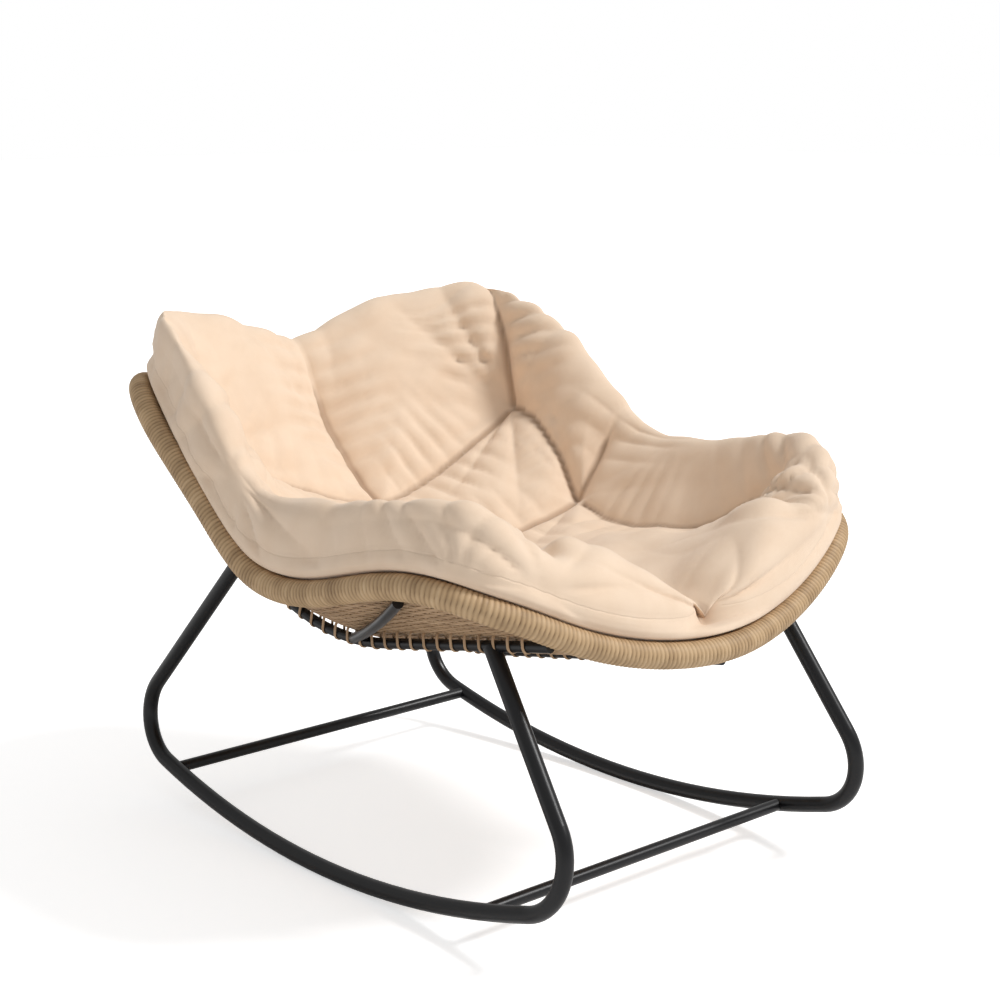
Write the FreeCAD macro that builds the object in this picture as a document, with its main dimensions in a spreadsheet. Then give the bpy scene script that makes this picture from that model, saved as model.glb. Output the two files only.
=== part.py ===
import FreeCAD, Part
import Sketcher
import math
import os

from FreeCAD import Placement, Rotation, Vector

# Outdoor rocking chair: two bent-tube runners with cross bars, a wrapped rim over a woven bowl that lies
# on bent rails, and one thick pad. Millimetres, +Z up. The chair faces -Y, so the sitter's right is -X.
# The floor is Z = 0, and the origin lies midway between the points where the runners touch it.

SIZES = {
    # runners
    "track": (650, "between the runners' centre lines at the floor"),
    "tube_d": (25, "runner tube, outside"),
    "tube_wall": (1.5, "runner tube wall"),
    "runner_radius": (1602, "rocking arc, to the tube's centre line"),
    "splay": (5.22, "degrees that each runner leans inwards"),
    "front_lean": (35.6, "degrees that the front leg leans back"),
    "rear_lean": (41.7, "degrees that the rear leg leans forward"),
    "front_bend": (87, "bend between runner and front leg"),
    "rear_bend": (78, "bend between runner and rear leg"),
    "front_bend_at": (429, "centre of the front bend, ahead of the origin"),
    "rear_bend_at": (415, "centre of the rear bend, behind the origin"),
    # cross bars
    "bar_d": (19, "cross bar, outside"),
    "bar_wall": (1.5, "cross bar wall"),
    "bar_front": (362, "front cross bar, ahead of the origin"),
    "bar_rear": (409, "rear cross bar, behind the origin"),
    # rails under the bowl
    "rail_d": (16, "bent rods that carry the weave"),
    "rail_bend": (440, "bend between seat and back on each rail"),
    "side_rail_x": (285, "side rails, from the middle"),
    "side_front_y": (459, "side rail's front end, ahead of the origin"),
    "side_front_z": (449, "height of that end"),
    "side_low_y": (102, "crossing of the side rail's two straights, behind the origin"),
    "side_low_z": (342, "height of that crossing"),
    "side_back_y": (485, "side rail's rear end, behind the origin"),
    "side_back_z": (676, "height of that end"),
    "middle_front_y": (512, "middle rail's front end, ahead of the origin"),
    "middle_front_z": (388, "height of that end"),
    "middle_low_y": (173, "crossing of the middle rail's two straights, behind the origin"),
    "middle_low_z": (264, "height of that crossing"),
    "middle_back_y": (551, "middle rail's rear end, behind the origin"),
    "middle_back_z": (617, "height of that end"),
    "saddle_rise": (15, "leg's end to the rail's centre line"),
    "spigot": (32, "saddle's plug inside the leg"),
    "brace_from_y": (33, "side brace's foot on the side rail, ahead of the origin"),
    "brace_drop": (18, "side brace's middle under the weave"),
    "brace_end_drop": (22, "side brace's end under the rim's centre line"),
    # bowl, rim and pad
    "rim_d": (38, "rim over its wrap"),
    "weave_thick": (3, "woven bowl"),
    "seat_slope": (9.9, "degrees that the bowl's seat falls to the rear on the middle line"),
    "back_slope": (42.9, "degrees of the bowl's back on the middle line"),
    "bowl_low_y": (173, "crossing of seat and back lines, behind the origin"),
    "bowl_low_z": (282, "height of that crossing"),
    "bowl_bend": (541, "bend between seat and back on the middle line"),
    "seat_cup": (0.88, "rise of the bowl's sides at the seat, per metre of half-width squared"),
    "back_cup": (1.58, "the same at the back"),
    "cup_from": (-33, "where the seat's cup starts to deepen"),
    "cup_to": (273, "where it has reached the back's"),
    "pad_gap": (7, "pad above the weave"),
    "pad_middle": (112, "pad's top above the weave in the middle of the seat"),
    "fit_gap": (0.1, "between pieces that are welded or plugged together"),
    "clearance": (0.4, "between the rim and the soft pieces inside it"),
}

# The rim's left half from front middle to rear middle: x, y, z and the pad's rise above the rim there
RIM_HALF = (
    (0, -511, 404, 69),
    (139, -494, 418, 73),
    (259, -468, 457, 84),
    (322, -447, 487, 98),
    (364, -421, 506, 114),
    (397, -374, 522, 124),
    (415, -299, 524, 126),
    (424, -208, 505, 130),
    (429, -97, 480, 125),
    (431, 13, 489, 109),
    (429, 117, 557, 112),
    (421, 221, 628, 133),
    (404, 315, 682, 132),
    (374, 387, 714, 126),
    (299, 461, 701, 112),
    (162, 517, 656, 95),
    (0, 536, 636, 87),
)
BRACE_RIM_POINT = 6  # the rim point that a side brace reaches

# Closed rings of the pad's skin, from the underside's middle out and back over its top. The innermost
# rings are flat, so that a plane can close them. Under and top rings have a size relative to the rim.
PAD_FLAT = 0.12
PAD_UNDER = (0.35, 0.62, 0.85)
PAD_TOP = (0.74, 0.5, 0.28)
PAD_TUCK = ((30, -2), (17, 25), (3, 37))  # inside the rim's line, above it
PAD_WALL = ((-3, 0.54), (-1, 0.74), (9, 0.91), (24, 0.99), (44, 1.0))  # inside the rim's line, share of the pad's rise

SIDES = {"right": -1, "left": 1}

doc = FreeCAD.newDocument("RockingChair")
sheet = doc.addObject("Spreadsheet::Sheet", "Sizes")
for row, (alias, (value, note)) in enumerate(SIZES.items(), start=1):
    sheet.set(f"A{row}", str(value))
    sheet.setAlias(f"A{row}", alias)
    sheet.set(f"B{row}", note)
doc.recompute()


def size(alias):
    """Value of a driving dimension."""
    return float(sheet.get(alias))


def plane(body, role):
    """One of a body's own origin planes."""
    return next(f for f in body.Origin.OriginFeatures if f.Role == role)


def bind(sketch, constraint, expression):
    """Adds a dimension to a sketch and binds it to the sheet."""
    index = sketch.addConstraint(constraint)
    sketch.setExpression(f"Constraints[{index}]", expression)


def feature(label, shape):
    """A document object for a shape that Part's own functions made."""
    obj = doc.addObject("Part::Feature", label)
    obj.Label = label
    obj.Shape = shape
    return obj


def cylinder(name, radius, length, placement):
    """A Part cylinder whose radius and length are expressions of the sheet."""
    obj = doc.addObject("Part::Cylinder", name)
    obj.setExpression("Radius", radius)
    obj.setExpression("Height", length)
    obj.Placement = placement
    return obj


def cut(label, base, tools):
    """Base less its tools, as one Part::Cut."""
    tool = tools[0]
    if len(tools) > 1:
        tool = doc.addObject("Part::MultiFuse", label + "_tools")
        tool.Shapes = tools
    obj = doc.addObject("Part::Cut", label)
    obj.Label = label
    obj.Base = base
    obj.Tool = tool
    doc.recompute()
    return obj


def on_axis(middle, direction, length):
    """Placement of a cylinder of a given length that is centred on a point of its axis."""
    way = Vector(direction).normalize()
    return Placement(middle - way * (length / 2), Rotation(Vector(0, 0, 1), way))


def arc_edge(sketch, centre, radius, first, last):
    """Adds a sketch arc from first to last, in degrees counter-clockwise, and gives its index."""
    circle = Part.Circle(centre, Vector(0, 0, 1), radius)
    return sketch.addGeometry(Part.ArcOfCircle(circle, math.radians(first), math.radians(last)), False)


def pin_point(sketch, edge, end, point):
    """Fixes one end of a sketch edge at a point."""
    sketch.addConstraint(Sketcher.Constraint("DistanceX", -1, 1, edge, end, point.x))
    sketch.addConstraint(Sketcher.Constraint("DistanceY", -1, 1, edge, end, point.y))


def polar(centre, radius, degrees):
    """Point on a circle in a sketch."""
    angle = math.radians(degrees)
    return centre + Vector(radius * math.cos(angle), radius * math.sin(angle), 0)


def heading(vector):
    """Angle of a sketch vector in degrees, from 0 to 360."""
    return math.degrees(math.atan2(vector.y, vector.x)) % 360


def bent_tube(label, draw_path, start, direction, radii):
    """A body swept along a path that lies in its YZ plane.

    draw_path fills the path sketch. start and direction are the path's first point and tangent in that
    sketch. radii are the expressions of the section's circles, the outer one first.
    """
    body = doc.addObject("PartDesign::Body", label)
    body.Label = label
    path = body.newObject("Sketcher::SketchObject", label + "_path")
    path.AttachmentSupport = (plane(body, "YZ_Plane"), [""])
    path.MapMode = "FlatFace"
    draw_path(path)
    section = body.newObject("Sketcher::SketchObject", label + "_section")
    section.AttachmentSupport = (plane(body, "XY_Plane"), [""])
    section.MapMode = "FlatFace"
    turn = math.degrees(math.atan2(-direction.x, direction.y))
    section.AttachmentOffset = Placement(Vector(0, start.x, start.y), Rotation(Vector(1, 0, 0), turn))
    for index, radius in enumerate(radii):
        drawn = size("tube_d") / (2 + index)
        circle = section.addGeometry(Part.Circle(Vector(), Vector(0, 0, 1), drawn), False)
        section.addConstraint(Sketcher.Constraint("Coincident", circle, 3, -1, 1))
        bind(section, Sketcher.Constraint("Radius", circle, drawn), radius)
    doc.recompute()
    sweep = body.newObject("PartDesign::AdditivePipe", label + "_sweep")
    sweep.Profile = section
    sweep.Spine = (path, [f"Edge{index + 1}" for index in range(len(path.Shape.Edges))])
    doc.recompute()
    return body


class Trough:
    """A seat line and a back line joined by a bend, in the YZ plane: sketch x is Y and sketch y is Z."""

    def __init__(self, low, seat_way, back_way, bend):
        self.low = low
        self.bend = bend
        self.seat_way = Vector(seat_way).normalize()
        self.back_way = Vector(back_way).normalize()
        reach = bend * math.tan(self.seat_way.getAngle(self.back_way) / 2)
        self.bend_start = low - self.seat_way * reach
        self.bend_end = low + self.back_way * reach
        self.centre = self.bend_start + Vector(-self.seat_way.y, self.seat_way.x, 0) * bend

    def height(self, y):
        """Z of the line at y."""
        if y <= self.bend_start.x:
            return self.low.y + (y - self.low.x) * self.seat_way.y / self.seat_way.x
        if y >= self.bend_end.x:
            return self.low.y + (y - self.low.x) * self.back_way.y / self.back_way.x
        return self.centre.y - math.sqrt(self.bend**2 - (y - self.centre.x) ** 2)

    def tangent(self, y):
        """Direction of the line at y, towards the rear."""
        if y <= self.bend_start.x:
            return self.seat_way
        if y >= self.bend_end.x:
            return self.back_way
        out = Vector(y, self.height(y), 0) - self.centre
        return Vector(-out.y, out.x, 0).normalize()


class Rail(Trough):
    """Centre line of one rail between its front and rear ends."""

    def __init__(self, name):
        self.front = Vector(-size(name + "_front_y"), size(name + "_front_z"), 0)
        self.back = Vector(size(name + "_back_y"), size(name + "_back_z"), 0)
        low = Vector(size(name + "_low_y"), size(name + "_low_z"), 0)
        super().__init__(low, low - self.front, self.back - low, size("rail_bend"))

    def draw(self, sketch):
        """Draws seat straight, bend and back straight."""
        seat = sketch.addGeometry(Part.LineSegment(self.front, self.bend_start), False)
        first = heading(self.bend_start - self.centre)
        last = heading(self.bend_end - self.centre)
        bend = arc_edge(sketch, self.centre, self.bend, first, last)
        back = sketch.addGeometry(Part.LineSegment(self.bend_end, self.back), False)
        sketch.addConstraint(Sketcher.Constraint("Tangent", seat, 2, bend, 1))
        sketch.addConstraint(Sketcher.Constraint("Tangent", bend, 2, back, 1))
        bind(sketch, Sketcher.Constraint("Radius", bend, self.bend), "Sizes.rail_bend")
        pin_point(sketch, seat, 1, self.front)
        pin_point(sketch, back, 2, self.back)


class Runner:
    """Centre line of one runner in its own plane: sketch x runs to the rear, y up from its lowest point."""

    def __init__(self):
        self.radius = size("runner_radius")
        self.front_bend = size("front_bend")
        self.rear_bend = size("rear_bend")
        self.front_centre = self.bend_centre(-size("front_bend_at"), self.front_bend)
        self.rear_centre = self.bend_centre(size("rear_bend_at"), self.rear_bend)
        self.front_leg_at = 180 - size("front_lean")
        self.rear_leg_at = 360 + size("rear_lean")
        self.centre = Vector(0, self.radius, 0)
        self.front_foot_at = heading(self.front_centre - self.centre)
        self.rear_foot_at = heading(self.rear_centre - self.centre)

    def bend_centre(self, y, bend):
        """Centre of a bend that rolls inside the rocking arc."""
        return Vector(y, self.radius - math.sqrt((self.radius - bend) ** 2 - y**2), 0)

    def leg(self, end):
        """Foot and upward direction of the front or rear leg's straight."""
        if end == "front":
            foot = polar(self.front_centre, self.front_bend, self.front_leg_at)
            return foot, polar(Vector(), 1, self.front_leg_at - 90)
        foot = polar(self.rear_centre, self.rear_bend, self.rear_leg_at)
        return foot, polar(Vector(), 1, self.rear_leg_at + 90)

    def height(self, y):
        """Height of the rocking arc's centre line at y."""
        return self.radius - math.sqrt(self.radius**2 - y**2)

    def path(self, tops):
        """Gives the function that draws the whole path between the two leg tops."""

        def draw(sketch):
            front = sketch.addGeometry(Part.LineSegment(tops["front"], self.leg("front")[0]), False)
            bends = [
                (self.front_centre, self.front_bend, self.front_leg_at, self.front_foot_at, "front_bend"),
                (self.centre, self.radius, self.front_foot_at, self.rear_foot_at, "runner_radius"),
                (self.rear_centre, self.rear_bend, self.rear_foot_at, self.rear_leg_at, "rear_bend"),
            ]
            arcs = [arc_edge(sketch, centre, radius, a, b) for centre, radius, a, b, _ in bends]
            rear = sketch.addGeometry(Part.LineSegment(self.leg("rear")[0], tops["rear"]), False)
            chain = [front, *arcs, rear]
            for before, after in zip(chain, chain[1:]):
                sketch.addConstraint(Sketcher.Constraint("Tangent", before, 2, after, 1))
            for arc, (_, radius, _, _, cell) in zip(arcs, bends):
                bind(sketch, Sketcher.Constraint("Radius", arc, radius), f"Sizes.{cell}")
            sketch.addConstraint(Sketcher.Constraint("PointOnObject", arcs[1], 3, -2))
            sketch.addConstraint(Sketcher.Constraint("PointOnObject", -1, 1, arcs[1]))
            bind(sketch, Sketcher.Constraint("DistanceX", arcs[0], 3, -1, 1, -self.front_centre.x),
                 "Sizes.front_bend_at")
            bind(sketch, Sketcher.Constraint("DistanceX", -1, 1, arcs[2], 3, self.rear_centre.x),
                 "Sizes.rear_bend_at")
            pin_point(sketch, front, 1, tops["front"])
            pin_point(sketch, rear, 2, tops["rear"])

        return draw


def runner_placement(side):
    """Stands a runner's plane on the floor at one side and leans it inwards."""
    foot = Vector(side * size("track") / 2, 0, size("tube_d") / 2)
    return Placement(foot, Rotation(Vector(0, 1, 0), -side * size("splay")))


def in_runner(side, point):
    """World position of a point of the runner's sketch."""
    return runner_placement(side).multVec(Vector(0, point.x, point.y))


def leg_meets_rail(runner, rail, end):
    """Distance along a leg's straight to the height of the side rail's centre line."""
    foot, way = runner.leg(end)
    low, high = 0.0, 3 * size("track")
    while high - low > 0.001:
        middle = (low + high) / 2
        point = in_runner(1, foot + way * middle)
        if point.z < rail.height(point.y):
            low = middle
        else:
            high = middle
    return low


def build_runners(runner, tops):
    """The two bent tubes that each make a front leg, a rocking arc and a rear leg."""
    radii = ("Sizes.tube_d / 2", "Sizes.tube_d / 2 - Sizes.tube_wall")
    down = runner.leg("front")[1] * -1
    made = []
    for name, side in SIDES.items():
        body = bent_tube(f"rocker_{name}", runner.path(tops), tops["front"], down, radii)
        body.Placement = runner_placement(side)
        made.append(body)
    return made


def build_cross_bar(label, runner, y):
    """A tube between the runners, its ends coped to seat against them."""
    rise = runner.height(y)
    arc_way = Vector(math.sqrt(runner.radius**2 - y**2), y, 0).normalize()
    ends = [in_runner(side, Vector(y, rise, 0)) for side in SIDES.values()]
    length = ends[0].distanceToPoint(ends[1])
    middle = (ends[0] + ends[1]) * 0.5
    lying = on_axis(middle, Vector(1, 0, 0), length)
    base = cylinder(label + "_tube", "Sizes.bar_d / 2", f"{length} mm", lying)
    bore = cylinder(label + "_bore", "Sizes.bar_d / 2 - Sizes.bar_wall", f"{length} mm", lying)
    tools = [bore]
    for end, side in zip(ends, SIDES.values()):
        way = runner_placement(side).Rotation.multVec(Vector(0, arc_way.x, arc_way.y))
        cope = on_axis(end, way, 4 * size("tube_d"))
        tools.append(cylinder(f"{label}_cope_{len(tools)}", "Sizes.tube_d / 2 + Sizes.fit_gap",
                              "4 * Sizes.tube_d", cope))
    return cut(label, base, tools)


def build_saddle(label, side, end, runner, rail, meet):
    """A plug for the leg's top with a head that is hollowed to carry the side rail."""
    foot, way = runner.leg(end)
    leg_end = in_runner(side, foot + way * (meet - size("saddle_rise")))
    rail_point = in_runner(side, foot + way * meet)
    up = rail_point - leg_end
    plug_at = Placement(leg_end - Vector(up).normalize() * size("spigot"), Rotation(Vector(0, 0, 1), up))
    plug = cylinder(label + "_spigot", "Sizes.tube_d / 2 - Sizes.tube_wall - Sizes.fit_gap",
                    "Sizes.spigot", plug_at)
    head = cylinder(label + "_head", "Sizes.tube_d / 2", "Sizes.saddle_rise",
                    Placement(leg_end, Rotation(Vector(0, 0, 1), up)))
    base = doc.addObject("Part::Fuse", label + "_blank")
    base.Base, base.Tool = plug, head
    slope = rail.tangent(rail_point.y)
    axis_point = Vector(side * size("side_rail_x"), rail_point.y, rail_point.z)
    seat = cylinder(label + "_seat", "Sizes.rail_d / 2 + Sizes.fit_gap", "4 * Sizes.rail_d",
                    on_axis(axis_point, Vector(0, slope.x, slope.y), 4 * size("rail_d")))
    return cut(label, base, [seat])


def arc_between(start, start_way, end):
    """Centre, axis and angle in degrees of the arc that leaves start along start_way and reaches end."""
    chord = end - start
    along = chord.dot(start_way)
    normal = chord - start_way * along
    normal.normalize()
    across = chord.dot(normal)
    centre = start + normal * (chord.dot(chord) / (2 * across))
    return centre, start_way.cross(normal), math.degrees(2 * math.atan2(across, along))


def biarc_joint(start, start_way, end, end_way):
    """Point where two arcs meet that run from start to end with the given directions there."""
    chord = end - start
    ways = start_way + end_way
    square = 2 * (1 - start_way.dot(end_way))
    half = chord.dot(ways)
    reach = (-half + math.sqrt(half**2 + square * chord.dot(chord))) / square
    return (start + end + (start_way - end_way) * reach) * 0.5


def rim_solid(radius):
    """The closed rim as a chain of tangent torus pieces through the rim's points."""
    points = [Vector(x, y, z) for x, y, z, _ in RIM_HALF]
    mirrored = [Vector(-p.x, p.y, p.z) for p in points[-2:0:-1]]
    curve = Part.BSplineCurve()
    curve.interpolate(points + mirrored, PeriodicFlag=True)
    ways = [curve.tangent(curve.parameter(p))[0] for p in points]
    ways[0] = Vector(1, 0, 0)
    ways[-1] = Vector(-1, 0, 0)
    ring = Part.Circle(points[0], ways[0], radius).toShape()
    faces = []
    for start, start_way, end, end_way in zip(points, ways, points[1:], ways[1:]):
        joint = biarc_joint(start, start_way, end, end_way)
        for first, way, last in ((start, start_way, joint), (end, end_way * -1, joint)):
            centre, axis, angle = arc_between(first, way, last)
            if first is end:
                axis = axis * -1
            faces.append(ring.revolve(centre, axis, angle))
            ring = ring.copy()
            ring.rotate(centre, axis, angle)
    faces += [face.mirror(Vector(), Vector(1, 0, 0)) for face in faces]
    shell = Part.makeShell(faces)
    shell.sewShape()
    return Part.makeSolid(shell)


def bowl_line():
    """The bowl's middle line from front to rear."""
    low = Vector(size("bowl_low_y"), size("bowl_low_z"), 0)
    return Trough(low, polar(Vector(), 1, -size("seat_slope")), polar(Vector(), 1, size("back_slope")),
                  size("bowl_bend"))


def bowl_z(line, x, y):
    """Height of the bowl: its middle line, with sides that rise as the square of the half-width."""
    share = (y - size("cup_from")) / (size("cup_to") - size("cup_from"))
    share = min(max(share, 0.0), 1.0)
    share = share * share * (3 - 2 * share)
    cup = size("seat_cup") + (size("back_cup") - size("seat_cup")) * share
    return line.height(y) + cup * x * x / 1000


def closed_curve(half):
    """Closed smooth wire through a left half of points, from front middle to rear middle, and its mirror."""
    curve = Part.BSplineCurve()
    ends = {"InitialTangent": Vector(1, 0, 0), "FinalTangent": Vector(-1, 0, 0)}
    curve.interpolate(Points=half, Scale=False, **ends)
    edge = curve.toShape()
    return Part.Wire([edge, edge.mirror(Vector(), Vector(1, 0, 0))])


def largest(shape):
    """The largest solid of a shape."""
    return max(shape.Solids, key=lambda solid: solid.Volume)


def build_weave(line, rim_room):
    """The woven bowl as one thin sheet inside the rim."""
    reach_x = max(x for x, _, _, _ in RIM_HALF) + size("rim_d")
    front_y = RIM_HALF[0][1] - size("rim_d")
    rear_y = RIM_HALF[-1][1] + size("rim_d")
    across, along = 7, 13
    grid = []
    for j in range(along):
        y = front_y + (rear_y - front_y) * j / (along - 1)
        row = [reach_x * (2 * i / (across - 1) - 1) for i in range(across)]
        grid.append([Vector(x, y, bowl_z(line, x, y)) for x in row])
    surface = Part.BSplineSurface()
    surface.interpolate(grid)
    outline = Part.Face(closed_curve([Vector(x, y, 0) for x, y, _, _ in RIM_HALF]))
    trimmed = surface.toShape().common(outline.extrude(Vector(0, 0, 2 * size("track"))))
    sheet_solid = trimmed.Faces[0].extrude(Vector(0, 0, -size("weave_thick")))
    return feature("woven_bowl", largest(sheet_solid.cut(rim_room)))


class PadRings:
    """Closed rings of the pad's skin over every second point of the rim."""

    def __init__(self, line):
        self.line = line
        self.rim = RIM_HALF[::2]
        self.heart_y = (self.rim[0][1] + self.rim[-1][1]) / 2

    def scaled(self, scale, lift):
        """Ring at a size relative to the rim. lift gives its height above the bowl for a rim point."""
        points = []
        for x, y, z, rise in self.rim:
            px, py = x * scale, self.heart_y + (y - self.heart_y) * scale
            over = z + rise - bowl_z(self.line, x, y)
            points.append(Vector(px, py, bowl_z(self.line, px, py) + lift(over)))
        return closed_curve(points)

    def flat(self, lift):
        """The small level ring in the middle, at a height above the bowl there."""
        z = bowl_z(self.line, 0, self.heart_y) + lift
        points = []
        for x, y, _, _ in self.rim:
            points.append(Vector(x * PAD_FLAT, self.heart_y + (y - self.heart_y) * PAD_FLAT, z))
        return closed_curve(points)

    def beside_rim(self, inside, height):
        """Ring a distance inside the rim's line. height gives its height above that line for a rise."""
        points = []
        for x, y, z, rise in self.rim:
            inwards = Vector(-x, self.heart_y - y, 0).normalize() * inside
            points.append(Vector(x, y, z + height(rise)) + inwards)
        return closed_curve(points)


def build_pad(line):
    """The pad: a skin that follows the bowl, tucks in over the rim, bulges and closes over the seat."""
    rings = PadRings(line)
    gap, middle = size("pad_gap"), size("pad_middle")
    sections = [rings.flat(gap)]
    sections += [rings.scaled(scale, lambda over: gap) for scale in PAD_UNDER]
    sections += [rings.beside_rim(inside, lambda rise, up=up: up) for inside, up in PAD_TUCK]
    sections += [rings.beside_rim(inside, lambda rise, share=share: share * rise) for inside, share in PAD_WALL]
    for scale in PAD_TOP:
        sections.append(rings.scaled(scale, lambda over, part=scale**2: middle + (over - middle) * part))
    sections.append(rings.flat(middle))
    return feature("seat_pad", Part.makeLoft(sections, True, True))


def build_rail(label, rail, x, rim_room):
    """A bent rod under the bowl whose ends seat against the rim."""
    rod = bent_tube(label + "_rod", rail.draw, rail.front, rail.seat_way, ("Sizes.rail_d / 2",))
    rod.Placement = Placement(Vector(x, 0, 0), Rotation())
    return cut(label, rod, [rim_room])


def build_brace(label, side, line, rail, rim_room):
    """A curved rod from a side rail up the bowl's wall to the rim."""
    foot_y = -size("brace_from_y")
    foot = Vector(side * size("side_rail_x"), foot_y, rail.height(foot_y))
    rim_x, rim_y, rim_z, _ = RIM_HALF[BRACE_RIM_POINT]
    head = Vector(side * rim_x, rim_y, rim_z - size("brace_end_drop"))
    middle = (foot + head) * 0.5
    middle.z = bowl_z(line, middle.x, middle.y) - size("brace_drop")
    arc = Part.Arc(foot, middle, head).toShape()
    way = arc.tangentAt(arc.FirstParameter)
    disc = Part.Face(Part.Wire(Part.Circle(foot, way, size("rail_d") / 2).toShape()))
    angle = math.degrees(arc.LastParameter - arc.FirstParameter)
    rod = feature(label + "_rod", disc.revolve(arc.Curve.Center, arc.Curve.Axis, angle))
    slope = rail.tangent(foot_y)
    seat = cylinder(label + "_seat", "Sizes.rail_d / 2 + Sizes.fit_gap", "8 * Sizes.rail_d",
                    on_axis(foot, Vector(0, slope.x, slope.y), 8 * size("rail_d")))
    return cut(label, rod, [seat, rim_room])


def build_chair():
    """All sub-parts in the order that the chair is put together."""
    runner = Runner()
    side_rail, middle_rail = Rail("side"), Rail("middle")
    meets = {end: leg_meets_rail(runner, side_rail, end) for end in ("front", "rear")}
    tops = {}
    for end, meet in meets.items():
        foot, way = runner.leg(end)
        tops[end] = foot + way * (meet - size("saddle_rise"))
    pieces = build_runners(runner, tops)
    pieces.append(build_cross_bar("front_cross_bar", runner, -size("bar_front")))
    pieces.append(build_cross_bar("rear_cross_bar", runner, size("bar_rear")))
    for name, side in SIDES.items():
        for end, meet in meets.items():
            pieces.append(build_saddle(f"{end}_saddle_{name}", side, end, runner, side_rail, meet))
    pieces.append(feature("rim", rim_solid(size("rim_d") / 2)))
    weld_room = feature("rim_weld_room", rim_solid(size("rim_d") / 2 + size("fit_gap")))
    soft_room = rim_solid(size("rim_d") / 2 + size("clearance"))
    line = bowl_line()
    for name, side in SIDES.items():
        pieces.append(build_rail(f"side_rail_{name}", side_rail, side * size("side_rail_x"), weld_room))
    pieces.append(build_rail("middle_rail", middle_rail, 0, weld_room))
    for name, side in SIDES.items():
        pieces.append(build_brace(f"side_brace_{name}", side, line, side_rail, weld_room))
    pieces.append(build_weave(line, soft_room))
    pieces.append(build_pad(line))
    return pieces


def check(pieces):
    """Stops the build when an object failed or a piece isn't one valid solid."""
    doc.recompute()
    for obj in doc.Objects:
        if "Invalid" in obj.State or "Error" in obj.State:
            raise RuntimeError(f"{obj.Label} failed: {obj.State}")
    for piece in pieces:
        shape = piece.Shape
        if shape.isNull() or not shape.isValid() or len(shape.Solids) != 1:
            raise RuntimeError(f"{piece.Label} isn't one valid solid")


def write(pieces):
    """Writes one STEP file for each piece."""
    os.makedirs("parts", exist_ok=True)
    for piece in pieces:
        piece.Shape.exportStep(os.path.join("parts", piece.Label + ".step"))
        print(f"{piece.Label}: {piece.Shape.Volume / 1000:.1f} cm3")


chair = build_chair()
check(chair)
write(chair)
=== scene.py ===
import logging
import math
from collections.abc import Iterator
from dataclasses import dataclass
from enum import Enum

import bpy
import numpy as np
from mathutils import Matrix, Vector


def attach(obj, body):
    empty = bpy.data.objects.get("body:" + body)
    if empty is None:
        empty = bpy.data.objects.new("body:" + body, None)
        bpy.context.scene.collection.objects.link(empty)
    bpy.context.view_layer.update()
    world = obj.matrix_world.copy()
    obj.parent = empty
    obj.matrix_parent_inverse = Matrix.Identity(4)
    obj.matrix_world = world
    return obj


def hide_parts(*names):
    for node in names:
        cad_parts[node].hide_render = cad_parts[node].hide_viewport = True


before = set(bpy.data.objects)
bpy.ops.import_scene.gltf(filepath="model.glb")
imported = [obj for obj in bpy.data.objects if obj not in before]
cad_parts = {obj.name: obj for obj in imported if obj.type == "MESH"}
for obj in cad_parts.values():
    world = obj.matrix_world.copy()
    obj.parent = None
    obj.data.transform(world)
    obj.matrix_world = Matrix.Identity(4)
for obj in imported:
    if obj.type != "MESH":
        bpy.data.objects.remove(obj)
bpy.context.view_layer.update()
LOG = logging.getLogger("rocking_chair")
SEED = 20

Array = np.ndarray
Object = bpy.types.Object
Material = bpy.types.Material
Socket = bpy.types.NodeSocket
Rows = tuple[tuple[float, ...], ...]
Pair = tuple[float, float]
Triple = tuple[float, float, float]

# Samples along the rim from which its length is measured
RIM_SAMPLES = 6001
# Half of the step over which slopes are taken, in metres
NUDGE = 1e-4
# Points that are measured against a line at one time
BATCH = 8000
# Span of a random phase, about one full turn
PHASE_SPAN = 6.3
# Metres in one unit of the cushion's drawn plan
PLAN_UNIT = 0.65
# Places of a mix node's colour sockets: its two inputs and its output
MIX_FIRST, MIX_SECOND, MIX_OUT = 6, 7, 2

# The rim's left half from front middle to rear middle in millimetres: x, y, z and the cushion's rise over it
RIM_HALF: Rows = (
    (0, -511, 404, 80),
    (139, -494, 418, 123),
    (259, -468, 457, 124),
    (322, -447, 487, 112),
    (364, -421, 506, 98),
    (397, -374, 522, 92),
    (415, -299, 524, 83),
    (424, -208, 505, 90),
    (429, -97, 480, 108),
    (431, 13, 489, 102),
    (429, 117, 557, 102),
    (421, 221, 628, 114),
    (404, 315, 682, 120),
    (374, 387, 714, 108),
    (299, 461, 701, 105),
    (162, 517, 656, 146),
    (0, 536, 636, 116),
)

# The cushion's puffed height over the bowl in plan units: x to the side, the way to the front, and the height
PUFF_HEIGHTS: Rows = (
    (0.0, 0.10, 0.175), (0.22, 0.08, 0.190), (0.26, 0.30, 0.206), (0.0, 0.42, 0.185), (0.24, 0.55, 0.225),
    (0.0, 0.64, 0.150), (0.0, -0.06, 0.185), (0.22, -0.10, 0.200), (0.20, -0.25, 0.225),
    (0.0, -0.25, 0.215), (0.22, -0.50, 0.270), (0.0, -0.55, 0.255), (0.40, -0.50, 0.285),
    (0.44, 0.10, 0.185), (0.54, 0.30, 0.185), (0.50, 0.50, 0.180), (0.44, -0.42, 0.285),
    (0.38, 0.62, 0.214),
)

# The cushion's wall below its boxing seam in metres: the way out from the rim's line, and the height over it
WALL_PROFILE: Rows = (
    (0.007, 0.042), (0.009, 0.034), (0.006, 0.025), (-0.004, 0.021), (-0.014, 0.016), (-0.021, 0.008),
    (-0.026, 0.0), (-0.031, -0.009),
)


class Slot(Enum):
    """Material slot names listed for the pieces that are made here; the code doesn't use them."""

    RIM = "rim_straw"
    WEAVE = "weave_straw"
    CUSHION = "cushion_cream"


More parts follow.
